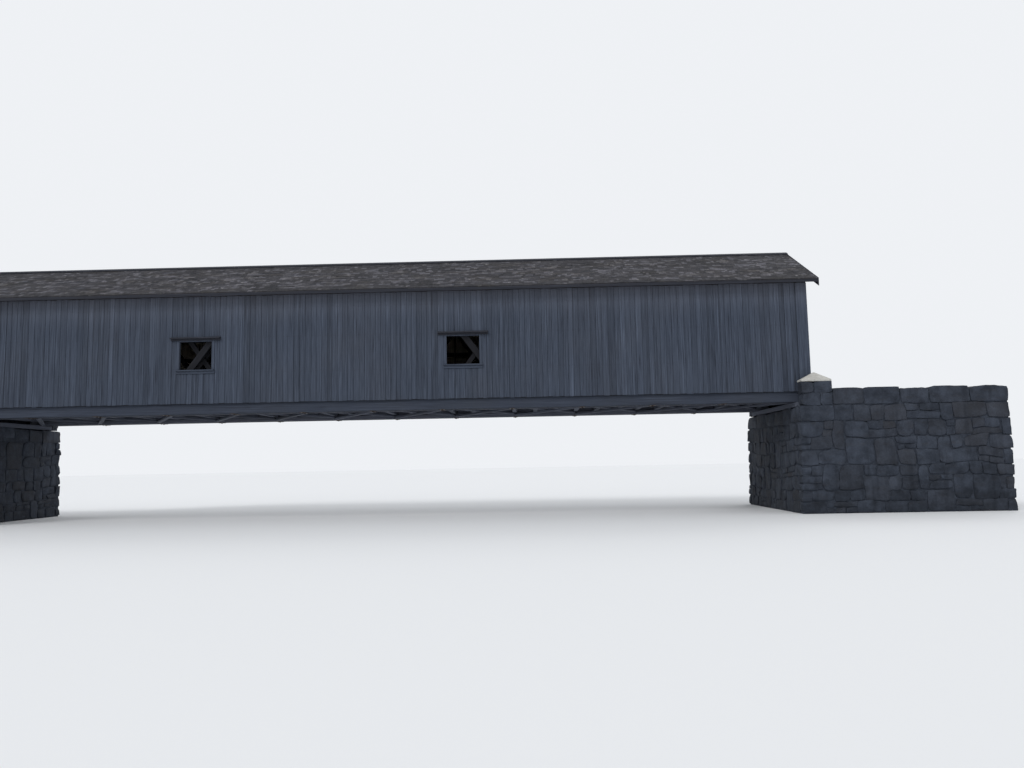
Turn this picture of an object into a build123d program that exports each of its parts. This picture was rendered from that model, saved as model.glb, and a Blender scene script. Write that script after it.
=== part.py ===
from build123d import *
from math import atan, atan2, cos, degrees, hypot, sqrt
import os

# A timber covered bridge on two stone abutments, in millimetres.
# X runs along the bridge, +Y to the far side, +Z up. The origin is on the
# ground under the middle of the span.

# Span and abutments
clear_span = 27000
seat_height = 3340
seat_length = 540
abutment_shoulder = 450
river_face_batter = 100
end_gap = 50
back_wall_thickness = 420
back_wall_side_gap = 10
wing_length = 5430
wing_drop = 75
wing_top_thickness = 750
wing_base_thickness = 1200
pier_setback = 80
pier_depth = 420
pier_height = 750
cap_rim = 60
cap_rise = 250

# Housing
outer_half_width = 2630
siding_thickness = 30
siding_lap = 60
siding_gap = 30
girt_thickness = 60
girt_depth = 150
corner_board_width = 350
corner_board_thickness = 20

# Roof
eave_rise = 3450
roof_rise = 1590
eave_overhang = 350
verge_overhang = 300
roof_thickness = 60
rafter_width = 75
rafter_depth = 150
rafter_spacing = 775
birdsmouth_seat = 70
fascia_thickness = 25
fascia_depth = 60
barge_thickness = 25
barge_depth = 230
ridge_board_width = 190
ridge_board_thickness = 25
ridge_joint = 1

# Trusses
panel_count = 12
stick_width = 150
stick_gap = 50
sticks = 3
lower_chord_depth = 380
upper_chord_depth = 260
bed_timber_depth = 150
bed_timber_width = 200
bed_timber_pitch = 260
bed_timbers_per_end = 2
end_post_length = 250
block_half_base = 190
main_brace_depth = 200
counter_brace_depth = 150
rod_diameter = 36
rod_sides = 8
plate_length = 160
plate_thickness = 12
nut_size = 60
nut_height = 22

# Floor
deck_thickness = 80
beams_per_panel = 3
floor_beam_width = 150
floor_beam_depth = 250
beam_end_clearance = 5
ledger_thickness = 100
lower_brace_width = 140
lower_brace_depth = 64
bay_clearance = 5
lap_clearance = 0.5

# Ceiling
wall_plate_width = 200
wall_plate_depth = 120
tie_beam_width = 200
tie_beam_depth = 220
upper_brace_width = 150
upper_brace_depth = 60
upper_brace_margin = 40
portal_brace_width = 150
portal_brace_depth = 150
portal_brace_reach = 590

# Windows and portals
window_centres = [-5730, 2980]
window_width = 1060
window_height = 920
window_rise = 980
jamb_width = 90
head_depth = 30
frame_proud = 10
hood_length = 1630
hood_board = 60
hood_board_thickness = 30
hood_reach = 130
hood_rise = 65
hood_edge = 30
sill_overhang = 10
sill_thickness = 45
sill_drip = 10
sill_reach = 80
apron_depth = 90
apron_thickness = 25
portal_side = 100
portal_drop = 214
portal_corner = 450

# Lengths worked out from the sizes above
river_face = clear_span / 2
body_end = river_face + seat_length
truss_end = body_end - siding_thickness
back_wall_face = body_end + end_gap
wing_start = back_wall_face + back_wall_thickness
wing_end = wing_start + wing_length
pier_start = river_face + pier_setback

# Widths worked out from the sizes above
abutment_half_width = outer_half_width + abutment_shoulder
pier_inner = abutment_half_width - pier_depth
roof_half_width = outer_half_width + eave_overhang
chord_outer = outer_half_width - siding_thickness - girt_thickness
chord_inner = chord_outer - sticks * stick_width - (sticks - 1) * stick_gap
stick_pitch = stick_width + stick_gap
ledger_inner = chord_inner - ledger_thickness
portal_half_width = chord_inner - portal_side
upper_brace_reach = chord_outer - wall_plate_width - upper_brace_margin

# Heights worked out from the sizes above
lower_chord_bottom = seat_height + bed_timber_depth
lower_chord_top = lower_chord_bottom + lower_chord_depth
floor_beam_bottom = lower_chord_top - floor_beam_depth
deck_top = lower_chord_top + deck_thickness
wing_height = deck_top - wing_drop
eave_height = deck_top + eave_rise
ridge_height = eave_height + roof_rise
siding_bottom = lower_chord_top - siding_lap
window_bottom = deck_top + window_rise
window_top = window_bottom + window_height

roof_slope = roof_rise / roof_half_width
roof_cosine = cos(atan(roof_slope))
roof_plumb = roof_thickness / roof_cosine
rafter_plumb = rafter_depth / roof_cosine


def roof_top(y):
    return ridge_height - abs(y) * roof_slope


def roof_underside(y):
    return roof_top(y) - roof_plumb


def rafter_underside(y):
    return roof_underside(y) - rafter_plumb


siding_top = rafter_underside(outer_half_width) - siding_gap
rafter_tail = roof_half_width - fascia_thickness
fascia_bottom = roof_underside(roof_half_width) - fascia_depth
wall_plate_top = rafter_underside(chord_outer) + birdsmouth_seat * roof_slope
tie_beam_top = wall_plate_top - wall_plate_depth
tie_beam_bottom = tie_beam_top - tie_beam_depth
portal_top = tie_beam_bottom - portal_drop
upper_chord_bottom = tie_beam_bottom - upper_chord_depth
truss_height = upper_chord_bottom - lower_chord_top

end_node = truss_end - end_post_length - block_half_base
panel = 2 * end_node / panel_count
panel_points = [-end_node + i * panel for i in range(panel_count + 1)]
beam_pitch = panel / beams_per_panel
beam_reach = int((truss_end - floor_beam_width / 2) // beam_pitch)
beam_places = [i * beam_pitch for i in range(-beam_reach, beam_reach + 1)]
bed_places = [truss_end - bed_timber_width / 2 - i * bed_timber_pitch for i in range(bed_timbers_per_end)]

# The braces stand square to the sloping faces of the angle blocks
brace_run = panel - block_half_base
brace_tangent = (truss_height + sqrt(truss_height ** 2 - 4 * block_half_base * brace_run)) / (2 * brace_run)
block_height = block_half_base / brace_tangent


def block(x0, x1, y0, y1, z0, z1):
    """A plain rectangular piece between two corners."""
    size = Box(x1 - x0, y1 - y0, z1 - z0, align=(Align.MIN, Align.MIN, Align.MIN))
    return Pos(x0, y0, z0) * size


def prism_along_x(outline, x0, x1):
    """A piece with one outline in Y and Z along its whole length."""
    wire = Polyline(*[(x0, y, z) for y, z in outline], close=True)
    return extrude(make_face(wire), x1 - x0, dir=(1, 0, 0))


def prism_along_y(outline, y0, y1):
    """A piece with one outline in X and Z across its whole width."""
    wire = Polyline(*[(x, y0, z) for x, z in outline], close=True)
    return extrude(make_face(wire), y1 - y0, dir=(0, 1, 0))


def other_side(pieces):
    """The same pieces on the near side of the bridge."""
    return [mirror(piece, about=Plane.XZ) for piece in pieces]


def other_end(pieces):
    """The same pieces at the left end of the bridge."""
    return [mirror(piece, about=Plane.YZ) for piece in pieces]


def both_sides(pieces):
    return pieces + other_side(pieces)


def both_ends(pieces):
    return pieces + other_end(pieces)


def near_and_turned(pieces):
    """The pieces of the near side, and the same ones turned about the middle on the far side."""
    return other_side(pieces) + other_end(pieces)


# Stone abutments
def breast_wall():
    outline = [
        (river_face - river_face_batter, 0),
        (river_face, seat_height),
        (wing_start, seat_height),
        (wing_start, 0),
    ]
    return [prism_along_y(outline, -abutment_half_width, abutment_half_width)]


def back_wall():
    half = pier_inner - back_wall_side_gap
    return [block(back_wall_face, wing_start, -half, half, seat_height, deck_top)]


def wing_walls():
    outer = abutment_half_width
    outline = [
        (outer, 0),
        (outer, wing_height),
        (outer - wing_top_thickness, wing_height),
        (outer - wing_base_thickness, 0),
    ]
    return both_sides([prism_along_x(outline, wing_start, wing_end)])


def corner_piers():
    top = seat_height + pier_height
    pier = block(pier_start, wing_start, pier_inner, abutment_half_width, seat_height, top)
    return both_ends(both_sides([pier]))


def pier_caps():
    """A low rim with a hipped top that runs up to a point."""
    base = seat_height + pier_height
    eave = base + cap_rim
    tip = eave + cap_rise
    x_middle = (pier_start + wing_start) / 2
    y_middle = abutment_half_width - pier_depth / 2
    front = [(pier_start, base), (pier_start, eave), (x_middle, tip), (wing_start, eave), (wing_start, base)]
    side = [
        (pier_inner, base), (pier_inner, eave), (y_middle, tip),
        (abutment_half_width, eave), (abutment_half_width, base),
    ]
    cap = prism_along_y(front, pier_inner, abutment_half_width) & prism_along_x(side, pier_start, wing_start)
    return both_ends(both_sides([cap]))


# Bearings and floor
def bed_timbers():
    half = bed_timber_width / 2
    return both_ends([
        block(x - half, x + half, -chord_outer, chord_outer, seat_height, lower_chord_bottom)
        for x in bed_places
    ])


def ledgers():
    """Shelves along the inner faces of the lower chords, which carry the floor beams."""
    ledger = block(
        -truss_end, truss_end, ledger_inner, chord_inner,
        lower_chord_bottom, floor_beam_bottom,
    )
    return both_sides([ledger])


def floor_beams():
    half = floor_beam_width / 2
    reach = chord_inner - beam_end_clearance
    return [
        block(x - half, x + half, -reach, reach, floor_beam_bottom, lower_chord_top)
        for x in beam_places
    ]


def deck():
    """The roadway planking, with a narrower threshold through each portal."""
    reach = chord_inner - beam_end_clearance
    roadway = block(-truss_end, truss_end, -reach, reach, lower_chord_top, deck_top)
    door = portal_half_width - beam_end_clearance
    return [roadway + block(-body_end, body_end, -door, door, lower_chord_top, deck_top)]


def cross_braces(x0, x1, reach, width, depth, top):
    """Two planks that run from corner to corner of one bay, one lapped under the other."""
    middle = (x0 + x1) / 2
    length = 2 * hypot(x1 - x0, 2 * reach)
    turn = degrees(atan2(2 * reach, x1 - x0))
    planks = []
    for level, angle in ((top - depth, turn), (top - 2 * depth - lap_clearance, -turn)):
        plank = Pos(middle, 0, level + depth / 2) * Rot(0, 0, angle) * Box(length, width, depth)
        planks.append(plank & block(x0, x1, -reach, reach, level, level + depth))
    return planks


def lower_bracing():
    """Planks under the floor beams, between the ledgers and from river face to river face."""
    ends = [-river_face, *panel_points[1:-1], river_face]
    pieces = []
    for x0, x1 in zip(ends, ends[1:]):
        start, end = x0 + bay_clearance, x1 - bay_clearance
        pieces += cross_braces(start, end, ledger_inner, lower_brace_width, lower_brace_depth, floor_beam_bottom)
    return pieces


# Trusses
def chord(z0, z1):
    inner_faces = [chord_inner + i * stick_pitch for i in range(sticks)]
    return [block(-truss_end, truss_end, y, y + stick_width, z0, z1) for y in inner_faces]


def lower_chord():
    return chord(lower_chord_bottom, lower_chord_top)


def upper_chord():
    return chord(upper_chord_bottom, tie_beam_bottom)


def end_posts():
    post = block(
        truss_end - end_post_length, truss_end,
        chord_inner, chord_outer, lower_chord_top, upper_chord_bottom,
    )
    return both_ends([post])


def angle_blocks():
    """A row of oak blocks at each panel point, on the lower chord and under the upper one."""
    pieces = []
    for x in panel_points:
        for i in range(sticks):
            y = chord_inner + i * stick_pitch
            for base, height in ((lower_chord_top, block_height), (upper_chord_bottom, -block_height)):
                outline = [(x - block_half_base, base), (x + block_half_base, base), (x, base + height)]
                pieces.append(prism_along_y(outline, y, y + stick_width))
    return pieces


def brace(x_low, x_high, depth, stick):
    """One sloping timber between a lower and an upper angle block."""
    step = block_half_base / 2 if x_high > x_low else -block_half_base / 2
    rise = block_height / 2
    start = Vector(x_low + step, 0, lower_chord_top + rise)
    end = Vector(x_high - step, 0, upper_chord_bottom - rise)
    run = end - start
    middle = (start + end) / 2
    y = chord_inner + stick * stick_pitch + stick_width / 2
    turn = degrees(atan2(run.Z, run.X))
    return Pos(middle.X, y, middle.Z) * Rot(0, -turn, 0) * Box(run.length, stick_width, depth)


def leans_right(x0, x1):
    return (x0 + x1) / 2 < 0


def main_braces():
    """Pairs that rise towards the middle of the span, in line with the outer sticks."""
    pieces = []
    for x0, x1 in zip(panel_points, panel_points[1:]):
        low, high = (x0, x1) if leans_right(x0, x1) else (x1, x0)
        pieces += [brace(low, high, main_brace_depth, i) for i in (0, sticks - 1)]
    return pieces


def counter_braces():
    """Single timbers that rise the other way, between the pairs."""
    pieces = []
    for x0, x1 in zip(panel_points, panel_points[1:]):
        low, high = (x1, x0) if leans_right(x0, x1) else (x0, x1)
        pieces.append(brace(low, high, counter_brace_depth, 1))
    return pieces


def rod_lines():
    """The gaps between the sticks, where the rods pass."""
    return [chord_inner + (i + 1) * stick_pitch - stick_gap / 2 for i in range(sticks - 1)]


def truss_rods():
    length = tie_beam_bottom - lower_chord_bottom
    return [
        extrude(Pos(x, y, lower_chord_bottom) * RegularPolygon(rod_diameter / 2, rod_sides), length)
        for x in panel_points[1:-1] for y in rod_lines()
    ]


def plate_with_nuts(x, y0, y1, z, up):
    """A bearing plate with the rods' nuts on it."""
    plate = block(
        x - plate_length / 2, x + plate_length / 2, y0, y1,
        min(z, z + up * plate_thickness), max(z, z + up * plate_thickness),
    )
    for y in rod_lines():
        nut = extrude(Pos(x, y, z) * RegularPolygon(nut_size / 2, 6), up * (plate_thickness + nut_height))
        plate = plate + nut
    return plate


def rod_plates():
    return [
        plate_with_nuts(x, chord_inner, chord_outer, z, up)
        for x in panel_points[1:-1] for z, up in ((lower_chord_bottom, -1), (tie_beam_bottom, 1))
    ]


# Ceiling and roof frame
def tie_places():
    ends = truss_end - tie_beam_width / 2
    middles = [(x0 + x1) / 2 for x0, x1 in zip(panel_points, panel_points[1:])]
    return [-ends] + middles + [ends]


def tie_beams():
    half = tie_beam_width / 2
    return [
        block(x - half, x + half, -chord_outer, chord_outer, tie_beam_bottom, tie_beam_top)
        for x in tie_places()
    ]


def upper_bracing():
    half = tie_beam_width / 2
    top = (tie_beam_bottom + tie_beam_top + lap_clearance) / 2 + upper_brace_depth
    places = tie_places()[1:-1]
    pieces = []
    for x0, x1 in zip(places, places[1:]):
        start, end = x0 + half, x1 - half
        pieces += cross_braces(start, end, upper_brace_reach, upper_brace_width, upper_brace_depth, top)
    return pieces


def portal_braces():
    """Knees from the end posts up to the end tie beams."""
    x = truss_end - tie_beam_width / 2
    start = Vector(x, chord_inner, tie_beam_bottom - portal_brace_reach)
    end = Vector(x, chord_inner - portal_brace_reach, tie_beam_bottom)
    middle = (start + end) / 2
    knee = Pos(*middle) * Rot(45, 0, 0) * Box(portal_brace_width, portal_brace_depth, 4 * portal_brace_reach)
    low = tie_beam_bottom - 2 * portal_brace_reach
    knee = knee & block(x - tie_beam_width, x + tie_beam_width, 0, chord_inner, low, tie_beam_bottom)
    return both_ends(both_sides([knee]))


def wall_plates():
    plate = block(
        -truss_end, truss_end, chord_outer - wall_plate_width, chord_outer,
        tie_beam_top, wall_plate_top,
    )
    return both_sides([plate])


def rafters():
    """Rafters notched over the wall plate, their tails tapered down to the fascia."""
    outline = [
        (0, roof_underside(0)),
        (rafter_tail, roof_underside(rafter_tail)),
        (rafter_tail, fascia_bottom),
        (outer_half_width, rafter_underside(outer_half_width)),
        (chord_outer, rafter_underside(chord_outer)),
        (chord_outer, wall_plate_top),
        (chord_outer - birdsmouth_seat, wall_plate_top),
        (0, rafter_underside(0)),
    ]
    ends = truss_end - rafter_width / 2
    bays = round(2 * ends / rafter_spacing)
    pitch = 2 * ends / bays
    starts = [-ends + i * pitch - rafter_width / 2 for i in range(bays + 1)]
    return [prism_along_x(outline, x, x + rafter_width) for x in starts]


def roof():
    outline = [
        (0, roof_top(0)),
        (roof_half_width, roof_top(roof_half_width)),
        (roof_half_width, roof_underside(roof_half_width)),
        (0, roof_underside(0)),
    ]
    reach = body_end + verge_overhang - barge_thickness
    return [prism_along_x(outline, -reach, reach)]


def fascia():
    """A board over the tapered rafter tails, level with their underside."""
    outline = [
        (rafter_tail, fascia_bottom),
        (roof_half_width, fascia_bottom),
        (roof_half_width, roof_underside(roof_half_width)),
        (rafter_tail, roof_underside(rafter_tail)),
    ]
    reach = body_end + verge_overhang - barge_thickness
    return [prism_along_x(outline, -reach, reach)]


def barge_boards():
    depth = barge_depth / roof_cosine
    outline = [
        (0, roof_top(0)),
        (roof_half_width, roof_top(roof_half_width)),
        (roof_half_width, roof_top(roof_half_width) - depth),
        (0, roof_top(0) - depth),
    ]
    outer = body_end + verge_overhang
    return both_ends([prism_along_x(outline, outer - barge_thickness, outer)])


def ridge_boards():
    """A board along the top of each slope, the two mitred over the ridge."""
    plumb = ridge_board_thickness / roof_cosine
    edge = ridge_board_width * roof_cosine
    mitre = ridge_joint / 2
    outline = [
        (mitre, roof_top(mitre)),
        (edge, roof_top(edge)),
        (edge, roof_top(edge) + plumb),
        (mitre, roof_top(mitre) + plumb),
    ]
    reach = body_end + verge_overhang
    return [prism_along_x(outline, -reach, reach)]


# Housing
def girts():
    """Rails between the trusses and the siding, clear of the windows."""
    inner = chord_outer
    outer = chord_outer + girt_thickness
    below = window_bottom - sill_thickness - girt_depth
    above = window_top + head_depth
    rows = [
        (siding_bottom, lower_chord_top),
        (below, below + girt_depth),
        (above, above + girt_depth),
        (upper_chord_bottom, upper_chord_bottom + girt_depth),
    ]
    return [block(-truss_end, truss_end, inner, outer, z0, z1) for z0, z1 in rows]


def siding():
    wall = block(
        -body_end, body_end, outer_half_width - siding_thickness, outer_half_width,
        siding_bottom, siding_top,
    )
    half = window_width / 2 + jamb_width
    for x in window_centres:
        wall -= block(
            x - half, x + half, outer_half_width - 2 * siding_thickness, outer_half_width + siding_thickness,
            window_bottom - sill_thickness, window_top + head_depth,
        )
    return [wall]


def corner_boards():
    board = block(
        body_end - corner_board_width, body_end,
        outer_half_width, outer_half_width + corner_board_thickness,
        siding_bottom, siding_top,
    )
    return both_ends(both_sides([board]))


def portal():
    """End boarding with the roadway cut through it."""
    edge = outer_half_width - siding_thickness
    half = [
        (edge, siding_bottom),
        (edge, roof_underside(edge)),
        (0, roof_underside(0)),
        (0, portal_top),
        (portal_half_width - portal_corner, portal_top),
        (portal_half_width, portal_top - portal_corner),
        (portal_half_width, siding_bottom),
    ]
    right_half = prism_along_x(half, truss_end, body_end)
    return [right_half + mirror(right_half, about=Plane.XZ)]


def window_frames():
    """Jambs and head in one, set into the siding."""
    inner = chord_outer
    outer = outer_half_width + frame_proud
    half = window_width / 2
    pieces = []
    for x in window_centres:
        frame = block(
            x - half - jamb_width, x + half + jamb_width, inner, outer,
            window_bottom, window_top + head_depth,
        )
        pieces.append(frame - block(x - half, x + half, inner, outer, window_bottom, window_top))
    return pieces


def window_hoods():
    """A head board with a sloping drip board over it."""
    wall = outer_half_width
    base = window_top + head_depth
    board = wall + hood_board_thickness
    top = base + hood_board
    outline = [
        (wall, base),
        (board, base),
        (board, top),
        (wall + hood_reach, top),
        (wall + hood_reach, top + hood_edge),
        (wall, top + hood_rise),
    ]
    return [prism_along_x(outline, x - hood_length / 2, x + hood_length / 2) for x in window_centres]


def window_sills():
    """A sill that lies in the opening and an apron under it."""
    wall = outer_half_width
    half = window_width / 2 + jamb_width
    reach = half + sill_overhang
    base = window_bottom - sill_thickness
    outline = [
        (wall, base - apron_depth),
        (wall + apron_thickness, base - apron_depth),
        (wall + apron_thickness, base),
        (wall + sill_reach, base),
        (wall + sill_reach, window_bottom - sill_drip),
        (wall, window_bottom),
    ]
    pieces = []
    for x in window_centres:
        outside = prism_along_x(outline, x - reach, x + reach)
        pieces.append(outside + block(x - half, x + half, chord_outer, wall, base, window_bottom))
    return pieces


def keep(name, pieces):
    """Writes one named sub-part, made of pieces that do not touch."""
    export_step(Compound(children=[Solid(piece.solid().wrapped) for piece in pieces]), f"parts/{name}.step")


nodes = {
    "left_breast_wall": other_end(breast_wall()),
    "right_breast_wall": breast_wall(),
    "left_back_wall": other_end(back_wall()),
    "right_back_wall": back_wall(),
    "left_wing_walls": other_end(wing_walls()),
    "right_wing_walls": wing_walls(),
    "corner_piers": corner_piers(),
    "pier_caps": pier_caps(),
    "bed_timbers": bed_timbers(),
    "near_lower_chord": other_side(lower_chord()),
    "far_lower_chord": lower_chord(),
    "near_upper_chord": other_side(upper_chord()),
    "far_upper_chord": upper_chord(),
    "near_end_posts": other_side(end_posts()),
    "far_end_posts": end_posts(),
    "near_angle_blocks": other_side(angle_blocks()),
    "far_angle_blocks": angle_blocks(),
    "near_main_braces": other_side(main_braces()),
    "far_main_braces": main_braces(),
    "near_counter_braces": other_side(counter_braces()),
    "far_counter_braces": counter_braces(),
    "near_truss_rods": other_side(truss_rods()),
    "far_truss_rods": truss_rods(),
    "near_rod_plates": other_side(rod_plates()),
    "far_rod_plates": rod_plates(),
    "ledgers": ledgers(),
    "floor_beams": floor_beams(),
    "lower_bracing": lower_bracing(),
    "deck": deck(),
    "tie_beams": tie_beams(),
    "upper_bracing": upper_bracing(),
    "portal_braces": portal_braces(),
    "wall_plates": wall_plates(),
    "near_rafters": other_side(rafters()),
    "far_rafters": rafters(),
    "near_roof": other_side(roof()),
    "far_roof": roof(),
    "ridge_boards": both_sides(ridge_boards()),
    "fascia_boards": both_sides(fascia()),
    "near_barge_boards": other_side(barge_boards()),
    "far_barge_boards": barge_boards(),
    "near_girts": other_side(girts()),
    "far_girts": girts(),
    "near_siding": other_side(siding()),
    "far_siding": other_end(siding()),
    "corner_boards": corner_boards(),
    "left_portal": other_end(portal()),
    "right_portal": portal(),
    "window_frames": near_and_turned(window_frames()),
    "window_hoods": near_and_turned(window_hoods()),
    "window_sills": near_and_turned(window_sills()),
}

os.makedirs("parts", exist_ok=True)
for name, pieces in nodes.items():
    keep(name, pieces)
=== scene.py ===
"""The looks of a timber covered bridge on two stone abutments, built around its CAD frame."""
from itertools import product
from math import atan2, cos, pi, radians, sin

import bmesh
import bpy
import numpy as np
from mathutils import Matrix, Vector, noise

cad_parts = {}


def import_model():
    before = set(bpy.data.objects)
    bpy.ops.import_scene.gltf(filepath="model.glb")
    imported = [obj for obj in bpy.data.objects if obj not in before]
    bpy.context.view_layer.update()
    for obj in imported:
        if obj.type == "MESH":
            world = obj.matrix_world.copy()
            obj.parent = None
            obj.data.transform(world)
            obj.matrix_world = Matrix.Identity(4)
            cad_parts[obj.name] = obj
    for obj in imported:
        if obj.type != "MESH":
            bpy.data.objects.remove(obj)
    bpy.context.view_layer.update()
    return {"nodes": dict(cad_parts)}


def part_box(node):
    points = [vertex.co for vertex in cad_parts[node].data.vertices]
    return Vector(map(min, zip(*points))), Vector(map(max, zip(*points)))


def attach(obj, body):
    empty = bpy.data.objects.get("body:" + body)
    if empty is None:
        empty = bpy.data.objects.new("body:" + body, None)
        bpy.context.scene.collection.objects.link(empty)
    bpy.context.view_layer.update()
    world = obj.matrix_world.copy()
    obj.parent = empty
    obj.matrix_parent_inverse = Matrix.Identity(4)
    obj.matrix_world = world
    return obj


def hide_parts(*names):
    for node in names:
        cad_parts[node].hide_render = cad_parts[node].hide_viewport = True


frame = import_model()

# Boards, in metres
board_width = 0.18
board_gap = 0.006
board_thickness = 0.018
board_lap = 0.012
board_ease = 0.004
board_sway = 0.004
board_foot_rise = 0.014
board_head_rise = (0.008, 0.022)
board_end_zone = 0.02
board_tone = 0.08
lining_foot_rise = 0.025
lining_gap = 0.002
lining_ease = 0.001
# Heights between which the siding is painted lighter towards the eave, as light against the eave's shade
eave_light_levels = (6.1, 7.35)

# Timbers, planks and nails, in metres
timber_ease = 0.008
trim_ease = 0.004
cap_ease = 0.012
chord_stick = 0.17
plank_gap = 0.006
plank_end_gap = 0.004
plank_tone = 0.12
deck_width = 0.22
deck_length = 4.8
deck_ease = 0.004
deck_wear = 0.004
deck_top_zone = 0.01
nail_radius = 0.006
nail_depth = 0.012
nail_height = 0.0015
nail_inset = 0.035
nail_stray = (0.006, 0.01)
nail_side_clearance = 0.3
nail_top_clearance = 0.2
sill_depth = 0.05
sawn_relief = 0.006

# Roof covering, in metres
shingle_exposure = 0.14
shingle_width = 0.135
shingle_sizes = (0.65, 0.85, 1.0, 1.2, 1.45)
shingle_least = 0.02
shingle_gap = 0.004
shingle_head = 0.004
shingle_butt = 0.015
shingle_lift = (0.002, 0.006)
shingle_ragged = 0.012
shingle_overlap = 0.05
underlay_layer = (0.016, 0.035)
sheathing_layer = (0.036, 0.060)
sheathing_width = 0.2
sheathing_length = 4.6
sheathing_ease = 0.002

# Stonework, in metres
course_lines = [0, 0.36, 0.68, 1.10, 1.46, 1.92, 2.32, 2.84]
face_length = 0.62
end_length = 0.6
inner_length = 0.95
coping_length = 1.15
coping_bed = 0.006
coping_ragged = 0.05
seat_length = 1.0
back_length = 0.8
pier_course = 0.38
pier_splits = (0.6, 0.42)
pier_core_inset = 0.05
stone_depth = 0.3
stone_recess = 0.022
stone_joint = 0.016
thin_joint = 0.01
bed_joint = 0.008
stone_edge = 0.02
stone_cell = 0.11
stone_cells = (9, 9, 2)
stone_corner = 0.085
least_block = 0.05
tall_block = 1.0
tall_block_margin = 0.45
split_block = 0.6
split_column_block = 0.75
split_column = (0.24, 0.34)
stone_relief = (0.021, 0.014, 0.006)
stone_skew = (0.05, 0.03, 0.004)
stone_tilt = 0.01
course_wave = 0.11
joint_wave = 0.07
core_inset = 0.055
wing_core_inset = 0.063
core_cover = {"back": 0.05, "breast": 0.06, "wing": 0.12}
core_overlap = {"back": 0.1, "wing": 0.2}

# Camera, fitted to the photograph's 1024 by 768 frame
camera_place = (5.169, -27.991, 1.666)
camera_yaw = radians(-1.417)
camera_pitch = radians(5.807)
camera_roll = radians(1.068)
camera_lens = 27.98
camera_reach = 2000

# Stage and light
floor_size = 900
floor_drop = 0.002
floor_bounce = (0.70, 0.71, 0.73, 1)
floor_seen = (0.80, 0.81, 0.82, 1)
world_light = (0.73, 0.745, 0.77, 1)
world_seen = (0.86, 0.88, 0.91, 1)
lamps = (
    ("key", (radians(52), 0, radians(-36)), 1.0, radians(22)),
    ("rim", (radians(50), 0, radians(150)), 0.4, radians(25)),
)


def srgb(red, green, blue):
    """A display colour from 0 to 255 as the linear colour that a shader takes."""
    share = np.array([red, green, blue]) / 255
    linear = np.where(share <= 0.04045, share / 12.92, ((share + 0.055) / 1.055) ** 2.4)
    return (*linear, 1)


# Shader trees
class Paint:
    """A material whose node tree is written as nested calls."""

    def __init__(self, name, roughness=0.9, gloss=0.2):
        self.material = bpy.data.materials.new(name)
        self.material.use_nodes = True
        self.tree = self.material.node_tree
        self.surface = self.tree.nodes["Principled BSDF"]
        self.surface.inputs["Roughness"].default_value = roughness
        self.surface.inputs["Specular IOR Level"].default_value = gloss
        self.place = self.tree.nodes.new("ShaderNodeTexCoord").outputs["Object"]

    def join(self, value, socket):
        if isinstance(value, bpy.types.NodeSocket):
            self.tree.links.new(value, socket)
        else:
            socket.default_value = value

    def node(self, kind, *values, **settings):
        """A node with its settings, and its inputs in their own order."""
        made = self.tree.nodes.new("ShaderNode" + kind)
        for key, value in settings.items():
            setattr(made, key, value)
        for socket, value in zip([s for s in made.inputs if s.enabled], values):
            self.join(value, socket)
        return made

    def feed(self, made, values):
        """Joins values to a node's inputs by name, and gives its first output."""
        for name, value in values.items():
            self.join(value, made.inputs[name])
        return made.outputs[0]

    def math(self, operation, a, b):
        return self.node("Math", a, b, operation=operation).outputs[0]

    def attribute(self, name, output="Fac"):
        return self.node("Attribute", attribute_name=name).outputs[output]

    def stretch(self, vector, scale):
        return self.node("VectorMath", vector, scale, operation="MULTIPLY").outputs[0]

    def clouds(self, vector, scale, detail=4.0, roughness=0.6):
        values = {"Vector": vector, "Scale": scale, "Detail": detail, "Roughness": roughness}
        return self.feed(self.node("TexNoise"), values)

    def spread(self, value, low, high, to_low=0.0, to_high=1.0):
        values = {"Value": value, "From Min": low, "From Max": high, "To Min": to_low, "To Max": to_high}
        return self.feed(self.node("MapRange", clamp=True), values)

    def mix(self, factor, a, b):
        """The colour a at a factor of 0, and b at 1."""
        made = self.node("Mix", data_type="RGBA")
        self.join(factor, made.inputs[0])
        self.join(a, made.inputs[6])
        self.join(b, made.inputs[7])
        return made.outputs[2]

    def times(self, colour, factor):
        if isinstance(colour, tuple):
            return tuple(part * factor for part in colour[:3]) + (1,)
        return self.feed(self.node("VectorMath", colour, operation="SCALE"), {"Scale": factor})

    def finish(self, colour, height, relief, roughness=None):
        normal = self.feed(self.node("Bump"), {"Strength": 1.0, "Distance": relief, "Height": height})
        self.feed(self.surface, {"Base Color": colour, "Normal": normal})
        if roughness is not None:
            self.join(roughness, self.surface.inputs["Roughness"])
        return self.material


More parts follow.
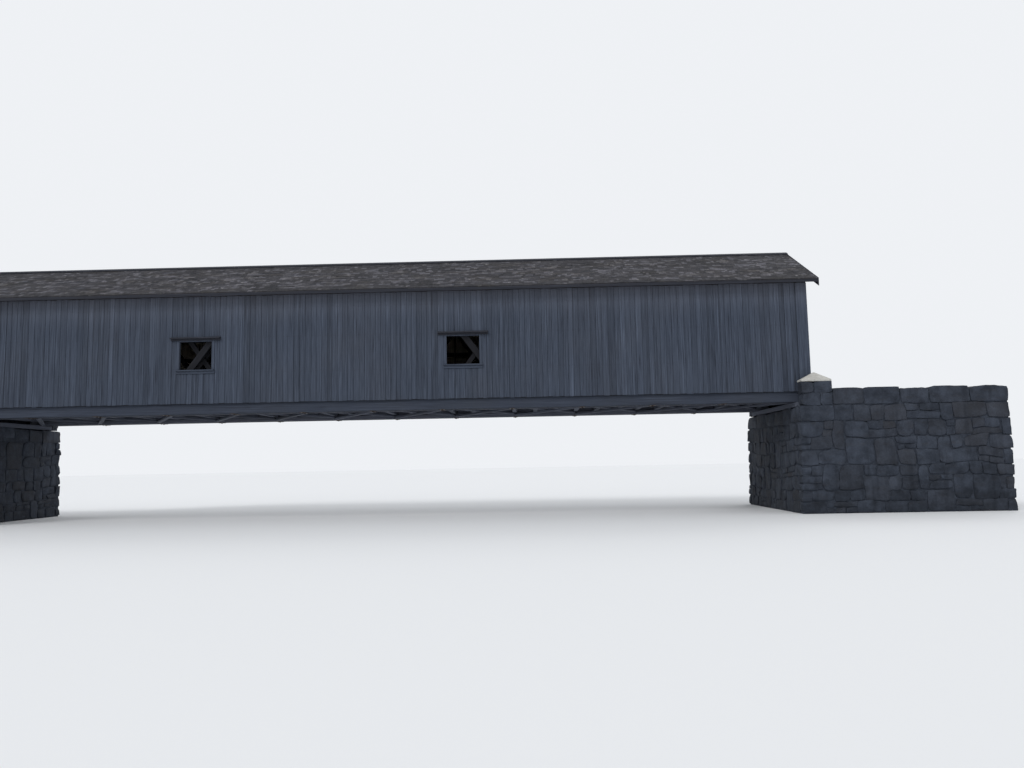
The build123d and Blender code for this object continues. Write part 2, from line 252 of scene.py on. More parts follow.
def wood(name, dark, light, warm, warmth, contrast=1.0, relief=0.004, eave_light_gain=1.0):
    """Weathered timber, streaked along the grain. With its last argument over 1 it grows paler and warmer up
    towards the eave: painted light that offsets the eave's shade.
    """
    paint = Paint(name)
    grain = paint.attribute("grain", "Vector")
    fibre = paint.clouds(paint.stretch(grain, (2.0, 70, 70)), 1.0, 3.0)
    streak = paint.clouds(paint.stretch(grain, (0.7, 22, 22)), 1.0, 3.0)
    band = paint.clouds(paint.stretch(grain, (0.3, 7, 7)), 1.0, 2.0)
    stain = paint.clouds(paint.stretch(paint.place, (0.5, 0.5, 0.35)), 1.0, 3.0)
    mixed = paint.math("ADD", paint.math("MULTIPLY", streak, 0.45), paint.math("MULTIPLY", band, 0.15))
    mixed = paint.math("ADD", mixed, paint.math("MULTIPLY", fibre, 0.4))
    colour = paint.mix(paint.spread(mixed, 0.5 - 0.17 / contrast, 0.5 + 0.17 / contrast), dark, light)
    colour = paint.mix(paint.spread(stain, 0.45, 0.75, 0.0, warmth), colour, warm)
    pale = paint.clouds(paint.stretch(grain, (0.45, 30, 30)), 1.0, 2.0)
    colour = paint.mix(paint.spread(pale, 0.6, 0.7, 0.0, 0.5), colour, paint.times(light, 1.6))
    crack = paint.spread(streak, 0.36, 0.30, 0.0, 0.45)
    colour = paint.mix(crack, colour, (0.012, 0.012, 0.014, 1))
    # Painted light: paler and warmer towards the eave, offsetting the shade under it
    if eave_light_gain > 1:
        level = paint.node("SeparateXYZ", paint.place).outputs["Z"]
        eave_light_share = paint.math("POWER", paint.spread(level, *eave_light_levels), 2.0)
        colour = paint.mix(paint.math("MULTIPLY", eave_light_share, 0.5), colour, warm)
        colour = paint.times(colour, paint.spread(eave_light_share, 0.0, 1.0, 1.0, eave_light_gain))
    colour = paint.times(colour, paint.attribute("tone"))
    height = paint.math("ADD", paint.math("MULTIPLY", fibre, 0.4), streak)
    return paint.finish(colour, height, relief, paint.spread(band, 0.3, 0.7, 0.82, 0.96))


def shingle_paint():
    """Weathered shingles: each its own tone, with mossy patches, bleached flecks and dark stains."""
    paint = Paint("weathered_shingle")
    grain = paint.attribute("grain", "Vector")
    fibre = paint.clouds(paint.stretch(grain, (3, 90, 90)), 1.0, 3.0)
    patch = paint.clouds(paint.stretch(paint.place, (0.8, 1.6, 1.6)), 1.0, 5.0, 0.7)
    stain = paint.clouds(paint.stretch(paint.place, (1.1, 2.4, 2.4)), 1.6, 4.0, 0.6)
    speck = paint.clouds(paint.place, 7.0, 4.0, 0.7)
    colour = paint.mix(paint.spread(fibre, 0.3, 0.7), srgb(46, 46, 50), srgb(76, 75, 80))
    colour = paint.mix(paint.spread(patch, 0.5, 0.68, 0.0, 0.6), colour, srgb(60, 56, 51))
    colour = paint.mix(paint.spread(stain, 0.5, 0.36, 0.0, 0.6), colour, srgb(36, 38, 45))
    colour = paint.mix(paint.spread(speck, 0.58, 0.7, 0.0, 0.5), colour, srgb(128, 126, 126))
    colour = paint.times(colour, paint.attribute("tone"))
    return paint.finish(colour, fibre, 0.003)


def stone_paint(name, dark, light, brown, wet=0.75):
    """Rough masonry: every stone its own hue, with veins, pale crust, dark stains and a damp foot."""
    paint = Paint(name)
    offset = paint.attribute("grain", "Vector")
    kind = paint.clouds(offset, 0.09, 0.0)
    rough = paint.clouds(offset, 2.4, 8.0, 0.66)
    fine = paint.clouds(offset, 20.0, 6.0, 0.7)
    vein = paint.clouds(paint.stretch(offset, (1.2, 1.2, 5.0)), 2.0, 4.0)
    crust = paint.clouds(paint.place, 1.1, 6.0, 0.7)
    run = paint.clouds(paint.stretch(paint.place, (3.2, 3.2, 0.35)), 1.0, 4.0, 0.6)
    mottle = paint.clouds(paint.place, 2.6, 5.0, 0.65)
    blend = paint.math("ADD", paint.math("MULTIPLY", rough, 0.5), paint.math("MULTIPLY", mottle, 0.5))
    colour = paint.mix(paint.spread(blend, 0.4, 0.6), dark, light)
    colour = paint.mix(paint.spread(kind, 0.5, 0.75, 0.0, 0.4), colour, brown)
    colour = paint.mix(paint.spread(vein, 0.54, 0.74, 0.0, 0.35), colour, brown)
    colour = paint.mix(paint.spread(fine, 0.62, 0.76, 0.0, 0.35), colour, paint.times(light, 1.7))
    colour = paint.mix(paint.spread(crust, 0.54, 0.66, 0.0, 0.4), colour, paint.times(light, 1.4))
    colour = paint.mix(paint.spread(run, 0.46, 0.34, 0.0, 0.45), colour, paint.times(dark, 0.62))
    level = paint.node("SeparateXYZ", paint.place).outputs["Z"]
    damp_line = paint.math("ADD", level, paint.spread(rough, 0.3, 0.7, -0.5, 0.5))
    damp = paint.spread(damp_line, 0.2, 1.4, wet, 1.0)
    colour = paint.times(colour, paint.math("MULTIPLY", paint.attribute("tone"), damp))
    height = paint.math("ADD", paint.math("MULTIPLY", rough, 1.6), paint.math("MULTIPLY", fine, 0.5))
    return paint.finish(colour, height, 0.03, paint.spread(rough, 0.3, 0.7, 0.75, 0.95))


def iron_paint():
    paint = Paint("rusted_iron", 0.8, 0.3)
    rust = paint.clouds(paint.place, 14.0, 6.0, 0.7)
    colour = paint.mix(paint.spread(rust, 0.4, 0.62), srgb(42, 41, 43), srgb(64, 50, 43))
    paint.surface.inputs["Metallic"].default_value = 0.2
    return paint.finish(colour, rust, 0.002, paint.spread(rust, 0.4, 0.62, 0.5, 0.9))


def fill_paint():
    """The plain core that shows in the joints between the stones."""
    paint = Paint("joint_fill")
    cloud = paint.clouds(paint.place, 6.0)
    colour = paint.mix(paint.spread(cloud, 0.3, 0.7), srgb(42, 46, 55), srgb(62, 68, 78))
    return paint.finish(colour, cloud, 0.004)


# The siding takes painted light under the eave
siding_wood = wood("siding_wood", srgb(46, 52, 64), srgb(76, 84, 98), srgb(78, 77, 80), 0.15, eave_light_gain=1.8)
portal_wood = wood("portal_wood", srgb(48, 52, 61), srgb(80, 86, 96), srgb(78, 76, 76), 0.3)
# Pale inner faces of the boards: unweathered wood, made paler still as painted light that brightens the dark
# inside of the house
lining_wood = wood(
    "lining_wood", srgb(138, 132, 123), srgb(174, 167, 156), srgb(148, 133, 113), 0.5, relief=sawn_relief,
)
chord_wood = wood("chord_wood", srgb(44, 49, 60), srgb(64, 70, 82), srgb(60, 62, 66), 0.3, 0.8)
trim_wood = wood("trim_wood", srgb(38, 40, 47), srgb(58, 60, 68), srgb(56, 54, 55), 0.3)
floor_wood = wood("floor_wood", srgb(70, 74, 85), srgb(92, 97, 109), srgb(88, 88, 92), 0.2, 0.8, sawn_relief)
# Unweathered wood under the deck, made paler still as painted light that lifts the shade there
sheltered_painted_light_wood = wood(
    "sheltered_painted_light_wood", srgb(80, 84, 95), srgb(112, 116, 128), srgb(104, 102, 102), 0.3, 0.8, sawn_relief,
)
frame_wood = wood(
    "frame_wood", srgb(70, 66, 63), srgb(102, 96, 91), srgb(94, 82, 69), 0.5, relief=sawn_relief,
)
# Near-black: painted shade on the braces, girts and posts inside the walls, and on the lining's outer faces
# and edges that show through the board gaps
brace_wood = wood(
    "brace_wood", srgb(24, 25, 29), srgb(38, 39, 44), srgb(38, 35, 34), 0.4, relief=sawn_relief,
)
# Worn planks, made paler still as painted light that brightens the inside of the house
deck_wood = wood("deck_wood", srgb(100, 98, 99), srgb(144, 141, 139), srgb(122, 113, 103), 0.4)
roof_shingle = shingle_paint()
wall_stone = stone_paint("wall_stone", srgb(40, 45, 54), srgb(62, 68, 79), srgb(58, 57, 59))
cap_stone = stone_paint("cap_stone", srgb(168, 168, 166), srgb(212, 212, 208), srgb(186, 182, 172), 1.0)
iron = iron_paint()
joint_fill = fill_paint()


# Shapes
box_faces = [(0, 1, 3, 2), (4, 6, 7, 5), (0, 4, 5, 1), (2, 3, 7, 6), (0, 2, 6, 4), (1, 5, 7, 3)]
upright_axes = np.array([[0, 1, 0], [0, 0, 1], [1, 0, 0]], float)


class Shape:
    """Collects closed solids, each with a tone and grain coordinates, into one mesh."""

    def __init__(self):
        self.points, self.grains, self.tones = [], [], []
        self.faces, self.slots = [], []

    def add(self, points, faces, tone, grain, slot=0):
        start = len(self.points)
        self.points.extend(map(tuple, points))
        self.grains.extend(map(tuple, grain))
        self.tones.extend([tone] * len(points))
        self.faces.extend([tuple(start + i for i in face) for face in faces])
        self.slots.extend([slot] * len(faces))

    def add_core(self, corners):
        """A plain box behind the stones, in the second material."""
        self.add(corners, box_faces, 1.0, corners, 1)

    def piece(self, name, slot, materials, nodes=(), smooth=False):
        """Makes the mesh with its tone and grain, and keeps it as a piece."""
        mesh = bpy.data.meshes.new(name)
        mesh.from_pydata(self.points, [], self.faces)
        mesh.polygons.foreach_set("material_index", self.slots)
        mesh.polygons.foreach_set("use_smooth", [smooth] * len(self.faces))
        mesh.attributes.new("tone", "FLOAT", "POINT").data.foreach_set("value", self.tones)
        flat = np.array(self.grains, np.float32).ravel()
        mesh.attributes.new("grain", "FLOAT_VECTOR", "POINT").data.foreach_set("vector", flat)
        even_normals(mesh)
        if smooth:
            mesh.set_sharp_from_angle(angle=radians(35))
        keep(name, mesh, materials, nodes)


def even_normals(mesh):
    """Turns the faces of every closed solid outwards."""
    bm = bmesh.new()
    bm.from_mesh(mesh)
    bmesh.ops.recalc_face_normals(bm, faces=bm.faces)
    bm.to_mesh(mesh)
    bm.free()


def keep(name, mesh, materials, nodes):
    """A finished piece, riding on the bridge and standing for the named nodes."""
    for material in materials:
        mesh.materials.append(material)
    piece = bpy.data.objects.new(name, mesh)
    bpy.context.scene.collection.objects.link(piece)
    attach(piece, "root")
    if nodes:
        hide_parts(*nodes)
    return piece


def solid_copy(node):
    """A CAD node's mesh with its flat faces whole again."""
    bm = bmesh.new()
    bm.from_mesh(frame["nodes"][node].data)
    bmesh.ops.remove_doubles(bm, verts=bm.verts, dist=1e-5)
    bmesh.ops.dissolve_limit(bm, angle_limit=radians(1), verts=bm.verts, edges=bm.edges)
    return bm


def islands(bm):
    """The vertices of each separate solid."""
    seen, groups = set(), []
    for first in bm.verts:
        if first in seen:
            continue
        seen.add(first)
        group, front = [first], [first]
        while front:
            vertex = front.pop()
            for edge in vertex.link_edges:
                other = edge.other_vert(vertex)
                if other not in seen:
                    seen.add(other)
                    group.append(other)
                    front.append(other)
        groups.append(group)
    return groups


def solid_boxes(node):
    """The lowest and highest corner of each solid of a CAD node."""
    bm = solid_copy(node)
    boxes = []
    for group in islands(bm):
        places = np.array([v.co for v in group])
        boxes.append((places.min(0), places.max(0)))
    bm.free()
    return sorted(boxes, key=lambda pair: tuple(pair[0]))


def ease(bm, width):
    """A small flat on every sharp edge."""
    sharp = [e for e in bm.edges if len(e.link_faces) == 2 and e.calc_face_angle(0) > radians(20)]
    bmesh.ops.bevel(bm, geom=sharp, offset=width, segments=1, affect="EDGES", clamp_overlap=True)


def long_axes(places):
    """Three axes of a solid, the longest first."""
    values, vectors = np.linalg.eigh(np.cov((places - places.mean(0)).T))
    return vectors[:, np.argsort(-values)]


def write_grain(bm, rng, tone_spread, axes=None):
    """Gives each solid a tone, and grain coordinates along its longest axis or the given axes."""
    tones = bm.verts.layers.float.new("tone")
    grains = bm.verts.layers.float_vector.new("grain")
    for group in islands(bm):
        places = np.array([v.co for v in group])
        turned = (places - places.mean(0)) @ (long_axes(places) if axes is None else axes)
        turned = turned + rng.uniform(-50, 50, 3)
        tone = float(np.clip(rng.normal(1, tone_spread), 0.6, 1.5))
        for vertex, grain in zip(group, turned):
            vertex[tones] = tone
            vertex[grains] = grain


def timbers(node, material, width=timber_ease, tone_spread=0.1, seed=1, axes=None):
    """A CAD node's timbers with eased edges and their own grain and tone."""
    bm = solid_copy(node)
    ease(bm, width)
    write_grain(bm, np.random.default_rng(seed), tone_spread, axes)
    mesh = bpy.data.meshes.new(node + "_timbers")
    bm.to_mesh(mesh)
    bm.free()
    return keep(node + "_timbers", mesh, [material], [node])


# Boards that are cut from a CAD slab
def cut(bm, place, normal):
    """Keeps the part of a closed solid behind a plane, and closes it again."""
    geometry = bm.verts[:] + bm.edges[:] + bm.faces[:]
    made = bmesh.ops.bisect_plane(
        bm, geom=geometry, plane_co=place, plane_no=normal, clear_outer=True, dist=1e-6,
    )
    rim = [e for e in made["geom_cut"] if isinstance(e, bmesh.types.BMEdge)]
    if rim:
        bmesh.ops.edgeloop_fill(bm, edges=rim)


def strip(source, direction, low, high):
    """The part of a solid between two parallel planes."""
    piece = source.copy()
    cut(piece, direction * high, direction)
    cut(piece, direction * low, -direction)
    return piece


def joints(low, high, rng, width, stops=(), spread=0.18):
    """Board edges from one end to the other, with an edge at each stop."""
    lines = [low]
    for stop in sorted(s for s in (*stops, high) if low < s <= high):
        count = max(1, round((stop - lines[-1]) / width))
        shares = rng.uniform(1 - spread, 1 + spread, count)
        lines.extend(lines[-1] + np.cumsum(shares / shares.sum()) * (stop - lines[-1]))
    return lines


def append_mesh(target, piece):
    """Adds one bmesh to another by way of a mesh, with its layers."""
    mesh = bpy.data.meshes.new("part")
    piece.to_mesh(mesh)
    target.from_mesh(mesh)
    bpy.data.meshes.remove(mesh)
    piece.free()


def slabs_to_boards(source, direction, lines, rng, outward, gap=board_gap, width=board_ease, sway=board_sway):
    """Cuts a slab into boards along parallel lines, each a little out of line with the next."""
    boards = bmesh.new()
    for low, high in zip(lines, lines[1:]):
        board = strip(source, direction, low + gap / 2, high - gap / 2)
        if not board.faces:
            board.free()
            continue
        ease(board, width)
        middle = direction * (low + high) / 2
        lean = rng.normal(0, 1) * sway * 2 / (high - low)
        back = rng.uniform(0, 1) * sway
        for vertex in board.verts:
            across = (vertex.co - middle).dot(direction)
            vertex.co -= outward * (back + max(0.0, lean * across) + abs(lean) * (high - low) / 4)
        append_mesh(boards, board)
    return boards


def squeeze(bm, axis, near, far):
    """Presses a slab into one layer of its thickness."""
    values = [v.co[axis] for v in bm.verts]
    low, high = min(values), max(values)
    for vertex in bm.verts:
        share = (vertex.co[axis] - low) / (high - low)
        vertex.co[axis] = near + share * (far - near)
    return bm


def plank_rows(source, direction, lines, rng, length, width):
    """Cuts a slab into rows along one direction, and each row into planks along the bridge."""
    low = min(v.co.x for v in source.verts)
    high = max(v.co.x for v in source.verts)
    planks = bmesh.new()
    for near, far in zip(lines, lines[1:]):
        row = strip(source, direction, near + plank_gap / 2, far - plank_gap / 2)
        ends = joints(low, high, rng, length)
        for a, b in zip(ends, ends[1:]):
            plank = strip(row, Vector((1, 0, 0)), a + plank_end_gap / 2, b - plank_end_gap / 2)
            ease(plank, width)
            append_mesh(planks, plank)
        row.free()
    return planks


def boarded_wall(node, name, axis, outward, stops, seed, material):
    """Upright boards with lapped edges, in place of a plain wall."""
    rng = np.random.default_rng(seed)
    low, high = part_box(node)
    across = 1 - axis
    face, inner = (high[axis], low[axis]) if outward > 0 else (low[axis], high[axis])
    depth = face - outward * board_thickness
    direction = Vector([float(across == 0), float(across == 1), 0])
    out = Vector([0, 0, 0])
    out[axis] = outward
    lines = joints(low[across], high[across], rng, board_width, stops)
    layer = squeeze(solid_copy(node), axis, *sorted((face, depth)))
    boards = slabs_to_boards(layer, direction, lines, rng, out)
    for group in islands(boards):
        foot, head = rng.uniform(0, board_foot_rise), rng.uniform(*board_head_rise)
        for vertex in group:
            if vertex.co.z < low.z + board_end_zone:
                vertex.co.z += foot
            if axis == 1 and vertex.co.z > high.z - board_end_zone:
                vertex.co.z += head
    lining = squeeze(solid_copy(node), axis, *sorted((inner, depth)))
    for vertex in lining.verts:
        if vertex.co.z < low.z + board_end_zone:
            vertex.co.z += lining_foot_rise
    laps = [lines[0]] + [line + board_lap for line in lines[1:-1]] + [lines[-1]]
    backs = slabs_to_boards(lining, direction, laps, rng, out, lining_gap, lining_ease, 0.0)
    for part in (boards, backs):
        write_grain(part, rng, board_tone, upright_axes)
    # The lining's outer faces and edges, seen in the board gaps, take the near-black brace wood as painted
    # shade
    backs.normal_update()
    for polygon in backs.faces:
        polygon.material_index = 1 if polygon.normal.dot(out) < -0.5 else 2
    append_mesh(boards, backs)
    mesh = bpy.data.meshes.new(name)
    boards.to_mesh(mesh)
    for part in (boards, layer, lining):
        part.free()
    keep(name, mesh, [material, lining_wood, brace_wood], [node])
    return lines


def nails(side, lines, rows, windows):
    """Two nail heads to each board at each rail behind it, apart from those that a window covers."""
    rng = np.random.default_rng(71)
    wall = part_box(side + "_siding")
    back, front = wall[0].y + nail_depth, wall[0].y - nail_height
    if side == "far":
        back, front = wall[1].y - nail_depth, wall[1].y + nail_height
    beside, above = nail_side_clearance, nail_top_clearance
    turns = [i * pi / 3 for i in range(6)]
    faces = [tuple(range(6)), tuple(range(6, 12))]
    faces += [(i, (i + 1) % 6, 6 + (i + 1) % 6, 6 + i) for i in range(6)]
    shape = Shape()
    for low, high in zip(lines, lines[1:]):
        for x, z in product((low + nail_inset, high - nail_inset), rows):
            hidden = [
                x0 - beside < x < x1 + beside and z0 - above < z < z1 + above for x0, x1, z0, z1 in windows
            ]
            if any(hidden):
                continue
            cx, cz = x + rng.normal(0, nail_stray[0]), z + rng.normal(0, nail_stray[1])
            ring = [(cx + nail_radius * cos(t), cz + nail_radius * sin(t)) for t in turns]
            points = [(a, y, b) for y in (back, front) for a, b in ring]
            shape.add(points, faces, 1.0, points)
    shape.piece(side + "_nails", "iron", [iron])


def house():
    """The boarded side walls with their nails, the portals and the corner boards."""
    frames = solid_boxes("window_frames")
    for side, out in (("near", -1), ("far", 1)):
        windows = [
            (low[0], high[0], low[2] - sill_depth, high[2]) for low, high in frames if low[1] * out > 0
        ]
        stops = [edge for window in windows for edge in window[:2]]
        lines = boarded_wall(side + "_siding", side + "_boards", 1, out, stops, 11 + out, siding_wood)
        rows = [(low[2] + high[2]) / 2 for low, high in solid_boxes(side + "_girts")]
        nails(side, lines, rows, windows)
    for side, out in (("left", -1), ("right", 1)):
        node = side + "_portal"
        places = [v.co.y for v in frame["nodes"][node].data.vertices]
        stops = sorted({round(y, 4) for y in places})[1:-1]
        boarded_wall(node, side + "_portal_boards", 0, out, stops, 31 + out, portal_wood)
    timbers("corner_boards", siding_wood, trim_ease, 0.05)


# Roof
def roof_line(side):
    """The top of one slope: its height at the ridge, its fall for each metre out, and its reach."""
    node = side + "_roof"
    places = np.array([v.co for v in frame["nodes"][node].data.vertices])
    reach = np.abs(places[:, 1]).max()
    eave = places[np.abs(places[:, 1]) > reach - 1e-4, 2].max()
    ridge = places[:, 2].max()
    return ridge, (ridge - eave) / reach, reach


def roof_slope(side):
    """One slope: sheathing boards, a dark underlay, and single shingles in courses."""
    out = -1 if side == "near" else 1
    node = side + "_roof"
    rng = np.random.default_rng(41 + out)
    ridge, fall, reach = roof_line(side)
    flat = cos(atan2(fall, 1))
    low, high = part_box(node)
    down = Vector((0, out * flat, -fall * flat))
    up = Vector((0, out * fall * flat, flat))
    top = Vector((0, 0, ridge))

    def layer(near, far):
        bm = solid_copy(node)
        depths = [ridge - abs(v.co.y) * fall - v.co.z for v in bm.verts]
        deepest = max(depths)
        for vertex, depth in zip(bm.verts, depths):
            vertex.co.z += depth - (near + (far - near) * depth / deepest) / flat
        return bm

    length = reach / flat
    sheathing = layer(*sheathing_layer)
    start = top.dot(down)
    lines = [start + s for s in joints(0, length, rng, sheathing_width)]
    lines[-1] += sheathing_layer[1]
    boards = plank_rows(sheathing, down, lines, rng, sheathing_length, sheathing_ease)
    sheathing.free()
    write_grain(boards, rng, plank_tone, np.eye(3))
    mesh = bpy.data.meshes.new(side + "_sheathing")
    boards.to_mesh(mesh)
    boards.free()
    # The boards' ends at the eave weather like the trim
    for polygon in mesh.polygons:
        polygon.material_index = int(polygon.normal.dot(down) > 0.5)
    keep(side + "_sheathing", mesh, [frame_wood, trim_wood], [])

    shape = Shape()
    under = layer(*underlay_layer)
    under.verts.index_update()
    places = np.array([v.co for v in under.verts])
    shape.add(places, [[v.index for v in f.verts] for f in under.faces], 0.6, places)
    under.free()
    courses = int(length // shingle_exposure)
    exposure = length / courses
    bed = underlay_layer[0] + 0.001
    for course in range(courses):
        butt = length - course * exposure
        head = max(butt - exposure - shingle_overlap, 0.01)
        x = low.x + rng.uniform(-shingle_width, 0)
        while x < high.x:
            width = shingle_width * rng.choice(shingle_sizes)
            x0, x1 = max(x, low.x), min(x + width - shingle_gap, high.x)
            x += width
            if x1 - x0 < shingle_least:
                continue
            end = butt - rng.uniform(0, shingle_ragged)
            lift = rng.uniform(*shingle_lift)
            thick = shingle_butt - lift + rng.uniform(-0.002, 0.0)
            corners = []
            for a, s in product((x0, x1), (head, end)):
                raised = bed - (shingle_head if s == head else thick + rng.uniform(0, 0.0015))
                corners += [Vector((a, 0, 0)) + top + down * s - up * d for d in (bed, raised)]
            along = (x0 + x1) / 2
            drift = 0.3 * noise.fractal(Vector((along * 0.5, butt * 1.2, 3 + out)), 1.0, 2.0, 3)
            fleck = noise.fractal(Vector((along * 1.5, butt * 6.0, 9 + out)), 0.9, 2.0, 2)
            zone = min(butt / 1.1, 1.0) * min((length - butt) / 0.5 + 0.2, 1.0)
            chance = float(np.clip(fleck * 3.4 + 0.16, 0.03, 0.75)) * zone
            bleached = rng.uniform(0.4, 1.5) * (rng.random() < chance)
            tone = float(np.clip(rng.normal(0.85, 0.12) + drift + bleached, 0.4, 2.6))
            offset = rng.uniform(-40, 40)
            grain = [((c - top).dot(down) + offset, c.x - along + offset, 0) for c in corners]
            shape.add(corners, box_faces, tone, grain)
    shape.piece(side + "_shingles", "shingle", [roof_shingle], [node])


def roof():
    for side in ("near", "far"):
        roof_slope(side)
    timbers("ridge_boards", trim_wood, trim_ease, 0.05)
    for node in ("fascia_boards", "near_barge_boards", "far_barge_boards"):
        timbers(node, trim_wood, trim_ease, 0.06)


# Timber frame
def timber_frame():
    """The timbers that keep their CAD shape, and the iron of the trusses."""
    woods = {node: floor_wood for node in ("bed_timbers", "floor_beams", "lower_bracing")}
    # The ledgers take this paler wood as painted light against the shade under the deck
    woods["ledgers"] = sheltered_painted_light_wood
    for node in ("tie_beams", "upper_bracing", "portal_braces", "wall_plates"):
        woods[node] = frame_wood
    for side in ("near", "far"):
        woods[side + "_lower_chord"] = chord_wood
        for part in ("_main_braces", "_counter_braces", "_angle_blocks", "_end_posts", "_girts"):
            woods[side + part] = brace_wood
        for part in ("_upper_chord", "_rafters"):
            woods[side + part] = frame_wood
    for seed, (node, material) in enumerate(woods.items()):
        piece = timbers(node, material, seed=100 + seed)
        if node.endswith("lower_chord"):
            shelter_and_light_inner_sticks(piece)
    timbers("window_frames", siding_wood, trim_ease, 0.08, axes=upright_axes)
    timbers("window_sills", siding_wood, trim_ease, 0.08)
    timbers("window_hoods", trim_wood, trim_ease, 0.08)
    for node in ("near_truss_rods", "far_truss_rods", "near_rod_plates", "far_rod_plates"):
        frame["nodes"][node].material_slots[0].material = iron


def shelter_and_light_inner_sticks(piece):
    """Only the outer stick of a chord meets the weather. The inner sticks take a paler wood, which is also
    painted light against the shade between the chords.
    """
    piece.data.materials.append(sheltered_painted_light_wood)
    reach = max(abs(v.co.y) for v in piece.data.vertices)
    for polygon in piece.data.polygons:
        if abs(polygon.center.y) < reach - chord_stick and polygon.normal.z > -0.5:
            polygon.material_index = 1


def deck():
    """Single planks, a little worn on top. Their undersides take a paler wood, which is also painted light
    against the shade under the deck.
    """
    rng = np.random.default_rng(61)
    low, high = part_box("deck")
    source = solid_copy("deck")
    lines = joints(low.y, high.y, rng, deck_width)
    planks = plank_rows(source, Vector((0, 1, 0)), lines, rng, deck_length, deck_ease)
    source.free()
    for group in islands(planks):
        worn = rng.uniform(0, deck_wear)
        for vertex in group:
            if vertex.co.z > high.z - deck_top_zone:
                vertex.co.z -= worn
    write_grain(planks, rng, plank_tone, np.eye(3))
    mesh = bpy.data.meshes.new("deck_planks")
    planks.to_mesh(mesh)
    planks.free()
    # The undersides take the paler wood: painted light under the deck
    for polygon in mesh.polygons:
        polygon.material_index = int(polygon.normal.z < -0.5)
    keep("deck_planks", mesh, [deck_wood, sheltered_painted_light_wood], ["deck"])


# Stonework
def block_grid(half, edge, counts):
    """The points and faces of a closed box, cut into cells between narrow strips along its edges."""
    lines = []
    for h, count in zip(half, counts):
        inner = np.linspace(-(h - edge), h - edge, count + 1)
        lines.append(np.concatenate([[-h], inner, [h]]))
    index, points, faces = {}, [], []

    def corner(key):
        if key not in index:
            index[key] = len(points)
            points.append([line[i] for line, i in zip(lines, key)])
        return index[key]

    n = [len(line) - 1 for line in lines]
    for axis in range(3):
        a, b = [i for i in range(3) if i != axis]
        for end, i, j in product((0, n[axis]), range(n[a]), range(n[b])):
            quad = []
            for s, t in ((0, 0), (1, 0), (1, 1), (0, 1)):
                key = [0, 0, 0]
                key[axis], key[a], key[b] = end, i + s, j + t
                quad.append(corner(tuple(key)))
            faces.append(quad)
    return np.array(points), faces


def stone(shape, box, rng, place):
    """One rough block in wall coordinates: along, up and in from the face."""
    low, high = np.array(box, float)
    size = high - low
    half = size / 2
    edge = min(stone_edge * rng.uniform(0.6, 1.6), size.min() * 0.3)
    counts = [int(np.clip(round(s / stone_cell), 1, most)) for s, most in zip(size, stone_cells)]
    points, faces = block_grid(half, edge, counts)
    inner = np.clip(points, -(half - edge), half - edge)
    away = points - inner
    normal = away / np.linalg.norm(away, axis=1, keepdims=True)
    points = inner + normal * edge
    share = points / half
    pulls = rng.uniform(0, 1, (2, 2)) ** 2 * min(stone_corner, 0.42 * half[:2].min())
    quarter = (share[:, :2] > 0).astype(int)
    pull = pulls[quarter[:, 0], quarter[:, 1]] * np.abs(share[:, 0] * share[:, 1]) ** 4
    points[:, :2] -= np.sign(share[:, :2]) * pull[:, None]
    offset = Vector(rng.uniform(-30, 30, 3))
    relief = []
    for spot in map(Vector, points):
        broad = noise.fractal(spot * 2.6 + offset, 1.0, 2.0, 2)
        chips = noise.ridged_multi_fractal(spot * 4.2 - offset, 0.9, 2.1, 3, 1.0, 2.0) - 1.2
        grit = noise.noise(spot * 11 + offset)
        relief.append(np.dot(stone_relief, (broad, chips, grit)))
    points = points + normal * np.array(relief)[:, None]
    tilt = rng.uniform(-stone_tilt, stone_tilt, 2)
    points[:, 2] += (share[:, 0] * tilt[0] + share[:, 1] * tilt[1]) * (share[:, 2] < 0)
    skew = rng.uniform(-1, 1, (2, 2, 2, 3)) * np.minimum(size * 0.09, stone_skew)
    t = np.clip((share + 1) / 2, 0, 1)
    for ends in product((0, 1), repeat=3):
        weight = np.prod([t[:, axis] if end else 1 - t[:, axis] for axis, end in enumerate(ends)], axis=0)
        points = points + weight[:, None] * skew[ends]
    points = points + (low + high) / 2
    world = place(points)
    tone = float(np.clip(rng.normal(1, 0.08), 0.75, 1.3))
    grain = world + rng.uniform(-30, 30, 3)
    shape.add(world, faces, tone, grain)


def face_stone(shape, cell, rng, place):
    """A block that fills one cell of a wall face, up to its joints."""
    a, b, z0, z1 = cell
    gap = stone_joint / 2
    face = stone_recess + rng.uniform(-0.008, 0.012)
    stone(shape, ((a + gap, z0 + gap, face), (b - gap, z1 - gap, stone_depth)), rng, place)


def masonry(shape, spans, lines, rng, place, size=face_length, split=0.2, rise=0.13):
    """Courses of blocks. Some are split into smaller ones, and some rise through two courses."""
    taken = []
    for number, ((u0, u1), z0, z1) in enumerate(zip(spans, lines, lines[1:])):
        walls = [(u0, u0)] + sorted(taken) + [(u1, u1)]
        taken = []
        for before, after in zip(walls, walls[1:]):
            low, high = before[1], after[0]
            if high - low < least_block:
                continue
            edges = joints(low, high, rng, size * rng.uniform(0.8, 1.25), spread=0.45)
            for c, d in zip(edges, edges[1:]):
                pick = rng.random()
                inside = c > u0 + tall_block_margin and d < u1 - tall_block_margin
                middle = z0 + (z1 - z0) * rng.uniform(0.38, 0.62)
                turn = c + (d - c) * rng.uniform(0.35, 0.65)
                if pick < rise and number + 2 < len(lines) and inside and d - c < tall_block:
                    cells = [(c, d, z0, lines[number + 2])]
                    taken.append((c, d))
                elif pick < rise + split and d - c > split_block:
                    cells = [(c, d, z0, middle), (c, turn, middle, z1), (turn, d, middle, z1)]
                    if rng.random() < 0.5:
                        cells = [(c, turn, z0, middle), (turn, d, z0, middle), (c, d, middle, z1)]
                elif pick < rise + 2 * split and d - c > split_column_block:
                    side = d - rng.uniform(*split_column)
                    cells = [(c, side, z0, z1), (side, d, z0, middle), (side, d, middle, z1)]
                else:
                    cells = [(c, d, z0, z1)]
                for cell in cells:
                    face_stone(shape, cell, rng, place)


